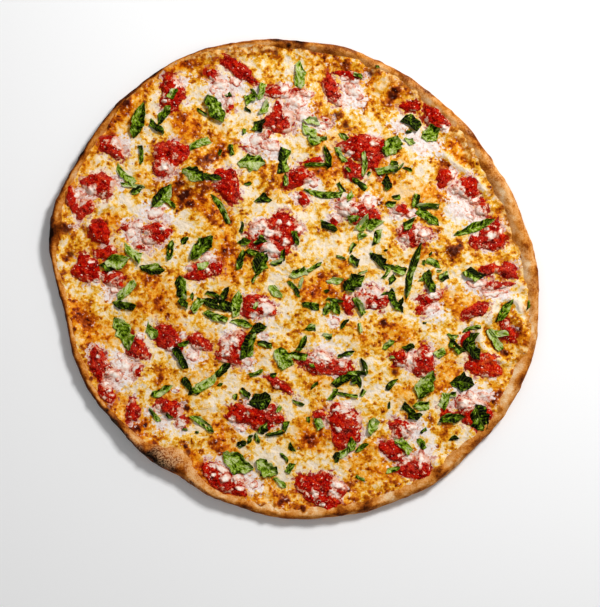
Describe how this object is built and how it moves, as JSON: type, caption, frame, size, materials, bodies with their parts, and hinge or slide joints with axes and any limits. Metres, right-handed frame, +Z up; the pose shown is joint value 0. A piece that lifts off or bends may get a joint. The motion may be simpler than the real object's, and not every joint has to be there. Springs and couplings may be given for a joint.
{
  "type": "grandma pizza",
  "caption": "Round thin-crust pizza, uncut, with a low uneven rim, melted mozzarella, dollops of crushed tomato and torn basil.",
  "frame": {"origin": "middle of the flat underside, centred under the crust", "axes": "+Z up through the toppings, +X to the right and +Y to the top as the picture looks down on it"},
  "size_m": [0.4046, 0.3974, 0.0165],
  "materials": {
    "baked_dough": "baked dough, dry and slightly floury, browned unevenly",
    "melted_mozzarella": "melted cheese, soft gloss with oily patches and browned freckles",
    "crushed_tomato": "wet crushed tomato, glossy and pulpy",
    "basil_leaf": "wilted basil leaf, satin"
  },
  "bodies": {
    "root": {"crust": "baked_dough", "cheese": "melted_mozzarella", "tomato_01": "crushed_tomato", "tomato_02": "crushed_tomato", "tomato_03": "crushed_tomato", "tomato_04": "crushed_tomato", "tomato_05": "crushed_tomato", "tomato_06": "crushed_tomato", "tomato_07": "crushed_tomato", "tomato_08": "crushed_tomato", "tomato_09": "crushed_tomato", "tomato_10": "crushed_tomato", "tomato_11": "crushed_tomato", "tomato_12": "crushed_tomato", "tomato_13": "crushed_tomato", "tomato_14": "crushed_tomato", "tomato_15": "crushed_tomato", "tomato_16": "crushed_tomato", "tomato_17": "crushed_tomato", "tomato_18": "crushed_tomato", "tomato_19": "crushed_tomato", "tomato_20": "crushed_tomato", "tomato_21": "crushed_tomato", "tomato_22": "crushed_tomato", "tomato_23": "crushed_tomato", "tomato_24": "crushed_tomato", "tomato_25": "crushed_tomato", "tomato_26": "crushed_tomato", "tomato_27": "crushed_tomato", "tomato_28": "crushed_tomato", "tomato_29": "crushed_tomato", "tomato_30": "crushed_tomato", "tomato_31": "crushed_tomato", "tomato_32": "crushed_tomato", "tomato_33": "crushed_tomato", "tomato_34": "crushed_tomato", "tomato_35": "crushed_tomato", "tomato_36": "crushed_tomato", "tomato_37": "crushed_tomato", "tomato_38": "crushed_tomato", "tomato_39": "crushed_tomato", "basil_01": "basil_leaf", "basil_02": "basil_leaf", "basil_03": "basil_leaf", "basil_04": "basil_leaf", "basil_05": "basil_leaf", "basil_06": "basil_leaf", "basil_07": "basil_leaf", "basil_08": "basil_leaf", "basil_09": "basil_leaf", "basil_10": "basil_leaf", "basil_11": "basil_leaf", "basil_12": "basil_leaf", "basil_13": "basil_leaf", "basil_14": "basil_leaf", "basil_15": "basil_leaf", "basil_16": "basil_leaf", "basil_17": "basil_leaf", "basil_18": "basil_leaf", "basil_19": "basil_leaf"}
  },
  "joints": []
}
